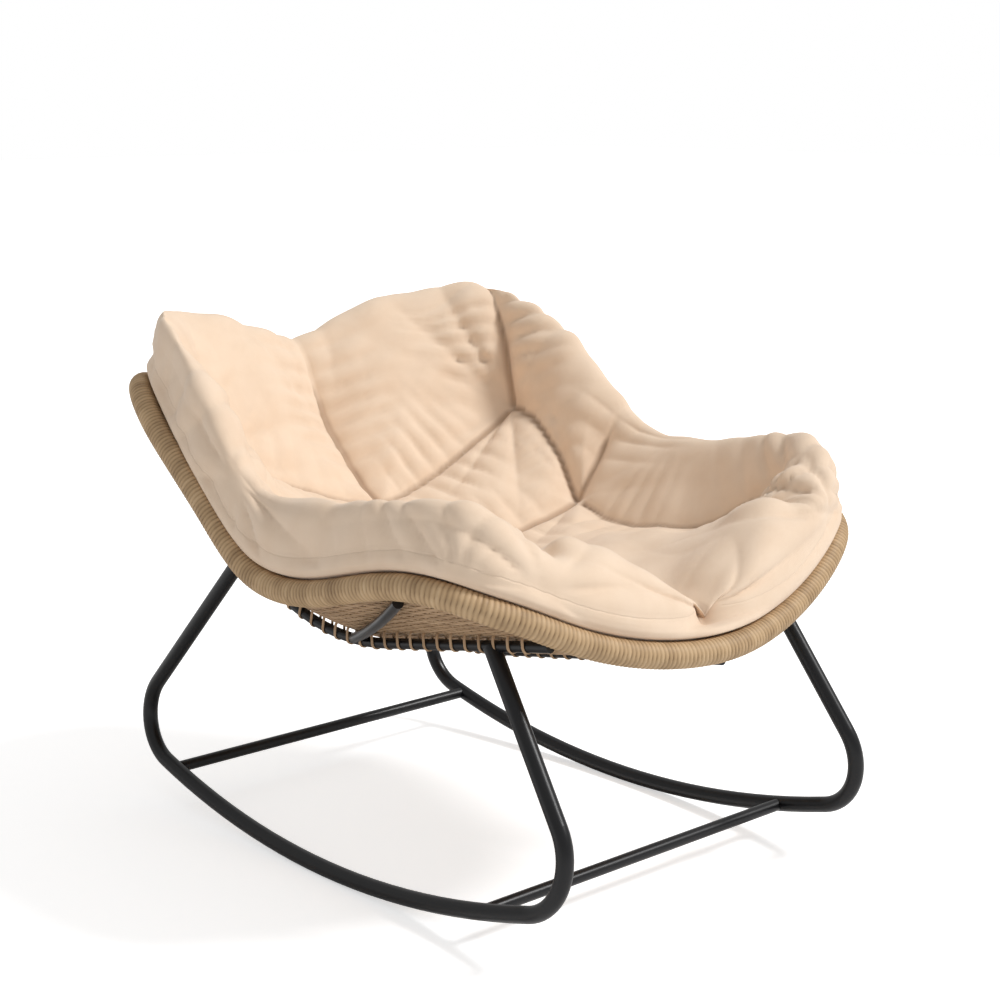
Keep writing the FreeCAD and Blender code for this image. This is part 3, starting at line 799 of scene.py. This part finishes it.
@dataclass
class Cushion:
    """The thick tufted cushion that fills the bowl and stands over the rim.

    The valley and the stitch of a seam, and each pull, are a depth and a width. A gather is a reach, a height
    and a number of folds. Spans run from where a change starts to where it is complete.
    """

    path: RimPath
    bowl: Bowl
    columns: int = 520
    top_rows: int = 110
    wall_rows: int = 26
    under_rows: int = 40
    row_ease: float = 1.7
    heart_y: float = 0.0125
    heart_size: float = 0.004
    edge_out: float = 0.002
    edge_sites: int = 40
    plate_ease: float = 0.0005
    seam_height: float = 0.052
    back_lean: float = 0.017
    lean_span: Pair = (0.10, 0.33)
    lean_foot: float = 0.016
    shoulder: float = 6.5
    lift_power: int = 6
    crest_at: float = 0.86
    under_gap: float = 0.007
    hang_power: int = 12
    valley: Pair = (0.026, 0.044)
    stitch: Pair = (0.010, 0.008)
    end_ease: float = 0.85
    ease_span: Pair = (0.40, 0.85)
    pull_power: float = 1.2
    tuft_pull: Pair = (0.046, 0.060)
    node_pull: Pair = (0.028, 0.060)
    front_pull: Pair = (0.026, 0.050)
    fold_width: float = 0.043
    fold_reach: float = 0.046
    fold_height: float = 0.0095
    fold_blend: float = 0.022
    fold_spread: float = 0.022
    fold_power: float = 0.75
    fold_mean: float = 0.62
    fold_seed: int = 20
    tuft_gather: Triple = (0.090, 0.0110, 12)
    node_gather: Triple = (0.075, 0.0065, 9)
    edge_gather: Triple = (0.105, 0.0120, 13)
    gather_span: Pair = (0.010, 0.075)
    gather_seed: int = 7
    aside: Triple = (0.31, 0.95, 0.05)
    lumps: int = 10
    lump_height: float = 0.0009
    lump_waves: float = 26
    fade_rows: tuple[int, int] = (-4, 10)
    # Where the painted seam shade eases out along a fading seam, and by how far
    crease_shade_span: Pair = (0.45, 0.80)
    crease_shade_out: float = 0.02
    boxing_reach: float = 0.03
    boxing_samples: int = 900

    def puff(self, x: Array, y: Array) -> Array:
        """Height of the puffed top over the bowl: a thin-plate surface through known heights.

        Along the edge it takes the height that makes the shoulder's crest reach the rim's stated rise.
        """
        sites = np.array([
            (side * across, -ahead, high)
            for across, ahead, high in PUFF_HEIGHTS
            for side in ((1, -1) if across else (1,))
        ]) * PLAN_UNIT
        edge = self.path.even(self.columns)[:: self.columns // self.edge_sites]
        crest_x = edge[:, 0] * self.crest_at
        crest_y = self.heart_y + (edge[:, 1] - self.heart_y) * self.crest_at
        floor = self.bowl.height(crest_x, crest_y)
        edge_lift = edge[:, 2] + self.seam_height - self.bowl.height(edge[:, 0], edge[:, 1])
        base = floor + edge_lift * self.crest_at**self.lift_power
        fall = math.sqrt(1 - self.crest_at**self.shoulder)
        edge_up = (edge[:, 2] + edge[:, 3] - base) / fall + base - floor
        sites = np.concatenate([sites, np.stack([crest_x, crest_y, edge_up], axis=1)])
        return thin_plate(sites, self.plate_ease, x, y)

    def skin(self) -> Array:
        """Closed skin before the seams are drawn in.

        Each column starts over the seat's middle and runs outwards to one place on the rim. There the top
        falls as the square root of one minus a high power of the way out, so it meets its seam upright. Below
        the wall goes down to the rim, tucks in over it, and follows the bowl back to the middle.

        Returns:
            Array of rows x columns x 3, from the middle of the top to the middle of the underside.
        """
        rim = self.path.even(self.columns)
        way = np.roll(rim, -1, axis=0) - np.roll(rim, 1, axis=0)
        out = unit(np.stack([way[:, 1], -way[:, 0]], axis=1))
        lean = self.back_lean * smooth_step(rim[:, 1], *self.lean_span)
        edge = rim[:, :2] + out * (self.edge_out - lean)[:, None]
        share = 1 - (1 - np.linspace(self.heart_size, 1, self.top_rows)) ** self.row_ease
        heart = np.array([0, self.heart_y])
        plan = heart + share[:, None, None] * (edge - heart)[None]
        x, y = plan[..., 0], plan[..., 1]
        edge_lift = rim[:, 2] + self.seam_height - self.bowl.height(edge[:, 0], edge[:, 1])
        lift = edge_lift[None] * share[:, None] ** self.lift_power
        fall = np.sqrt(np.maximum(1 - share**self.shoulder, 0))[:, None]
        high = self.bowl.height(x, y) + lift + (self.puff(x, y) - lift) * fall
        top = np.stack([x, y, high], axis=-1)
        profile = np.array([(self.edge_out, self.seam_height), *WALL_PROFILE])
        fine = np.linspace(0, len(profile) - 1, self.wall_rows + 1)[1:]
        offset = np.interp(fine, np.arange(len(profile)), profile[:, 0])
        height = np.interp(fine, np.arange(len(profile)), profile[:, 1])
        leaning = smooth_step(height, 0.0, self.lean_foot)[:, None] * lean[None]
        wall_plan = rim[None, :, :2] + out[None] * (offset[:, None] - leaning)[..., None]
        wall = np.concatenate([wall_plan, (rim[None, :, 2] + height[:, None])[..., None]], axis=-1)
        last = wall[-1]
        inwards = np.linspace(1, self.heart_size, self.under_rows + 1)[1:]
        under_plan = heart + inwards[:, None, None] * (last[:, :2] - heart)[None]
        lower = self.bowl.height(under_plan[..., 0], under_plan[..., 1]) + self.under_gap
        last_hang = last[:, 2] - self.bowl.height(last[:, 0], last[:, 1]) - self.under_gap
        hang = last_hang[None] * inwards[:, None] ** self.hang_power
        under = np.concatenate([under_plan, (lower + hang)[..., None]], axis=-1)
        return np.concatenate([top, wall, under])

    def seams_on(self, skin: Array) -> Seams:
        """Seams laid on the top rows of the skin, each with n x 3 points."""
        top = skin[: self.top_rows].reshape(-1, 3)
        laid = []
        for seam, line in seam_lines():
            _, which = nearest(line, top[:, :2])
            laid.append((seam, np.concatenate([line, top[which, 2:3]], axis=1)))
        return laid

    def pinches(self, seams: Seams) -> tuple[Array, Array, Array]:
        """Places of the tufts, of the seams' meetings beside the seat, and of the pinches on the edge.

        Those are both sides, both front corners, the back middle and at last the front middle.
        """
        over_edge = [seam_ends(seams, seam, -1) for seam in (Seam.SIDE, Seam.SEAT_SIDE, Seam.BACK_MIDDLE)]
        edge = np.concatenate([*over_edge, seam_ends(seams, Seam.FRONT_MIDDLE, 0)])
        return seam_ends(seams, Seam.EAR, 0), seam_ends(seams, Seam.ARM, -1), edge

    def pulled(self, points: Array, seams: Seams, near: Nearness) -> Array:
        """Depth that seams and tufts draw the skin in by, along its normal.

        Each seam's depth fades with distance as an exponential, and eases towards the far end of a seam that
        fades. The tufts, the places where seams meet and the front middle add deeper, wider hollows.

        Args:
            points: n x 3 places on the skin.
            seams: the seams on the skin.
            near: for each seam, the points' distances from it and shares along it.

        Returns:
            Array of n depths in metres.
        """
        depth = np.zeros(len(points))
        for (seam, _), (distance, share) in zip(seams, near):
            ease = 1 - seam.fades * self.end_ease * smooth_step(share, *self.ease_span)
            drawn = sum(deep * np.exp(-distance / wide) for deep, wide in (self.valley, self.stitch))
            depth = np.maximum(depth, seam.depth * ease * drawn)
        tufts, nodes, edge = self.pinches(seams)
        pulls = (self.tuft_pull, self.node_pull, self.front_pull)
        for centres, (deep, wide) in zip((tufts, nodes, edge[-1:]), pulls):
            away, _ = nearest(points, centres)
            depth += deep * np.exp(-((away / wide) ** self.pull_power))
        return depth

    def rounded(self, phase: Array) -> Array:
        """Round folds with sharp valleys, about level on the whole: a power of a sine less its mean."""
        return np.abs(np.sin(phase)) ** self.fold_power - self.fold_mean

    def pleats(self, along: Array, seed: int) -> Array:
        """Uneven row of folds at distances along a seam. Their phase and height wander."""
        rng = np.random.default_rng(SEED + seed)
        phase = along * math.pi / self.fold_width
        for _ in range(4):
            sway = rng.uniform(0.2, 0.7)
            turns = along * rng.uniform(0.2, 0.8) / self.fold_width
            phase = phase + sway * np.sin(turns + rng.uniform(0, PHASE_SPAN))
        turns = along * rng.uniform(0.3, 0.6) / self.fold_width
        return self.rounded(phase) * (0.55 + 0.45 * np.sin(turns + rng.uniform(0, PHASE_SPAN)))

    def spokes(self, angle: Array, count: int, seed: int) -> Array:
        """Uneven folds round a point, like pleats, with whole waves so that they join up after one turn."""
        rng = np.random.default_rng(SEED + seed)
        phase = angle * count / 2
        for wave in (1, 2, 3):
            phase = phase + rng.uniform(0.2, 0.8) * np.sin(angle * wave + rng.uniform(0, PHASE_SPAN))
        return self.rounded(phase) * (0.6 + 0.4 * np.sin(angle * 2 + rng.uniform(0, PHASE_SPAN)))

    def folds(self, points: Array, normals: Array, seams: Seams, near: Nearness) -> Array:
        """Height of the gathered cloth's folds: across each seam, round each pinch, and soft lumps all over.

        Beside a seam the folds depend on the distance along it, and they rise and fade with distance from it.
        Where two seams are about as near, their folds blend. Round a pinch they depend on the angle about its
        normal.

        Args:
            points: n x 3 places on the skin.
            normals: n x 3 outward unit vectors.
            seams: the seams on the skin.
            near: for each seam, the points' distances from it and shares along it.

        Returns:
            Array of n heights in metres.
        """
        weights = np.exp(-np.stack([distance for distance, _ in near]) / self.fold_blend)
        weights = weights / weights.sum(0)
        height = np.zeros(len(points))
        for number, ((seam, line), (distance, share)) in enumerate(zip(seams, near)):
            along = share * run_along(line)[-1]
            rise = distance / self.fold_reach * np.exp(1 - distance / self.fold_reach)
            gather = seam.folds * self.fold_height * rise
            height += weights[number] * gather * self.pleats(along, self.fold_seed + number)
        gathers = (self.tuft_gather, self.node_gather, self.edge_gather)
        for centres, (reach, tall, count) in zip(self.pinches(seams), gathers):
            for number, centre in enumerate(centres):
                away = points - centre
                far = np.linalg.norm(away, axis=1)
                axis = normals[far.argmin()]
                first = unit(np.cross(axis, np.array(self.aside)))
                second = np.cross(axis, first)
                ring = self.spokes(np.arctan2(away @ second, away @ first), count, self.gather_seed + number)
                flat = np.hypot(away @ first, away @ second)
                near_axis = flat / reach * smooth_step(flat, *self.gather_span)
                height += tall * near_axis * np.exp(1 - far / reach) * ring
        rng = np.random.default_rng(SEED)
        for _ in range(self.lumps):
            wave = rng.normal(0, self.lump_waves, 3)
            height += self.lump_height * np.sin(points @ wave + rng.uniform(0, PHASE_SPAN))
        return height

    def build(self) -> Object:
        """Makes the skin, draws its seams in and gathers the cloth beside them."""
        skin = self.skin()
        rows = len(skin)
        seams = self.seams_on(skin)
        across = np.roll(skin, -1, axis=1) - np.roll(skin, 1, axis=1)
        normals = unit(np.cross(np.gradient(skin, axis=0), across)).reshape(-1, 3)
        points = skin.reshape(-1, 3)
        past_top = np.repeat(np.arange(rows), self.columns) - self.top_rows
        fade = 1 - smooth_step(past_top, *self.fade_rows)
        near = [beside(points, line, self.fold_spread) for _, line in seams]
        move = self.folds(points, normals, seams, near) - self.pulled(points, seams, near)
        points = points + normals * (move * fade)[:, None]
        first, last = points[: self.columns].mean(0), points[-self.columns:].mean(0)
        points = np.concatenate([points, [first, last]])
        obj = self.closed(points, rows)
        # Distance to the nearest seam, stored for the painted shade in the seams' valleys; longer towards a
        # fading seam's far end and off the top
        gap = np.min([
            distance + seam.fades * self.crease_shade_out * smooth_step(share, *self.crease_shade_span)
            for (seam, _), (distance, share) in zip(seams, near)
        ], axis=0)
        point_values(obj, "seam_gap", np.append(gap + 1 - fade, [1.0, 1.0]))
        point_values(obj, "over_seam", self.over_seam(points))
        return obj

    def over_seam(self, points: Array) -> Array:
        """Height of each point over the boxing seam, or 1 where it is far from the rim."""
        rim = self.path.even(self.boxing_samples)
        away, which = nearest(points[:, :2], rim[:, :2])
        return np.where(away > self.boxing_reach, 1.0, points[:, 2] - rim[which, 2] - self.seam_height)

    def closed(self, points: Array, rows: int) -> Object:
        """Mesh of the skin, with a fan of triangles in the middle of its top and of its underside."""
        ring = np.arange(self.columns)
        after = np.roll(ring, -1)
        middle = rows * self.columns
        low = middle - self.columns
        upper = np.stack([np.full_like(ring, middle), ring, after], axis=1)
        lower = np.stack([np.full_like(ring, middle + 1), low + after, low + ring], axis=1)
        return new_object("cushion", points, quads(rows, self.columns)[:, ::-1], upper, lower)

    def dress(self, obj: Object, finish: Material) -> None:
        """Gives the cushion its finish and its place in the frame."""
        obj.data.materials.append(finish)
        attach(obj, "root")
        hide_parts("seat_pad")


@dataclass
class Studio:
    """Pale floor, soft light and the camera at the photograph's angle."""

    eye: Triple = (-2.052, -2.302, 1.171)
    turn: float = -0.738
    tilt: float = 0.2016
    lens: float = 71.57
    sensor: float = 36
    sky: float = 0.50
    key_energy: float = 2.3
    key_angle: float = 0.25
    key_from: Triple = (0.62, -0.66, 0.95)
    floor_reach: float = 30.0
    floor_grey: float = 0.93
    floor_roughness: float = 0.9
    floor_specular: float = 0.1
    floor_glow: float = 0.55

    def build(self) -> None:
        """Makes the stage."""
        self.camera()
        self.floor()
        self.lights()
        bpy.context.scene.view_settings.view_transform = "Standard"

    def camera(self) -> None:
        """Points a level camera along its turn and tilt."""
        data = bpy.data.cameras.new("camera")
        data.lens = self.lens
        data.sensor_width = self.sensor
        obj = bpy.data.objects.new("camera", data)
        level = math.cos(self.tilt)
        back = Vector((math.sin(self.turn) * level, -math.cos(self.turn) * level, math.sin(self.tilt)))
        right = Vector((0, 0, 1)).cross(back).normalized()
        axes = Matrix((right, back.cross(right), back)).transposed().to_4x4()
        obj.matrix_world = Matrix.Translation(self.eye) @ axes
        bpy.context.scene.collection.objects.link(obj)
        bpy.context.scene.camera = obj

    def floor(self) -> None:
        """A wide pale floor that looks white, with a little glow of its own for the camera alone."""
        corners = np.array([(-1, -1, 0), (1, -1, 0), (1, 1, 0), (-1, 1, 0)]) * self.floor_reach
        obj = new_object("floor", corners, np.array([[0, 1, 2, 3]]))
        shader = Shader("pale_floor")
        shader.surface_values({
            "Base Color": (self.floor_grey, self.floor_grey, self.floor_grey, 1),
            "Roughness": self.floor_roughness,
            "Specular IOR Level": self.floor_specular,
            "Emission Color": (1, 1, 1, 1),
        })
        glow = shader.node("ShaderNodeMapRange", **{"To Max": self.floor_glow})
        shader.link(shader.node("ShaderNodeLightPath").outputs["Is Camera Ray"], glow.inputs["Value"])
        shader.feed(glow.outputs["Result"], "Emission Strength")
        obj.data.materials.append(shader.material)

    def lights(self) -> None:
        """White surroundings, brighter for the camera than for the chair, and one soft key."""
        world = bpy.data.worlds.new("surroundings")
        world.use_nodes = True
        nodes, links = world.node_tree.nodes, world.node_tree.links
        seen = nodes.new("ShaderNodeLightPath")
        strength = nodes.new("ShaderNodeMapRange")
        strength.inputs["To Min"].default_value = self.sky
        strength.inputs["To Max"].default_value = 1.0
        links.new(seen.outputs["Is Camera Ray"], strength.inputs["Value"])
        links.new(strength.outputs["Result"], nodes["Background"].inputs["Strength"])
        nodes["Background"].inputs["Color"].default_value = (1, 1, 1, 1)
        bpy.context.scene.world = world
        key = bpy.data.lights.new("key", "SUN")
        key.energy = self.key_energy
        key.angle = self.key_angle
        obj = bpy.data.objects.new("key", key)
        obj.rotation_euler = Vector(self.key_from).to_track_quat("Z", "Y").to_euler()
        bpy.context.scene.collection.objects.link(obj)


def main() -> None:
    """Builds every piece of the chair's looks, then the stage."""
    logging.basicConfig(level=logging.INFO)
    path, bowl = RimPath(), Bowl()
    coat = PowderCoat().material()
    for name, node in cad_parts.items():
        if name not in ("rim", "woven_bowl", "seat_pad"):
            node.data.materials.clear()
            node.data.materials.append(coat)
    straw = RIM_STRAW.material()
    strands = WEAVE_STRAW.material()
    pieces = (
        (RimWrap(path), straw),
        (Weave(path, bowl), strands),
        (Lashings(bowl), strands),
        (Cushion(path, bowl), Fabric().material()),
    )
    for piece, finish in pieces:
        obj = piece.build()
        piece.dress(obj, finish)
        LOG.info("%s: %d faces", obj.name, len(obj.data.polygons))
    Studio().build()


if __name__ == "__main__":
    main()
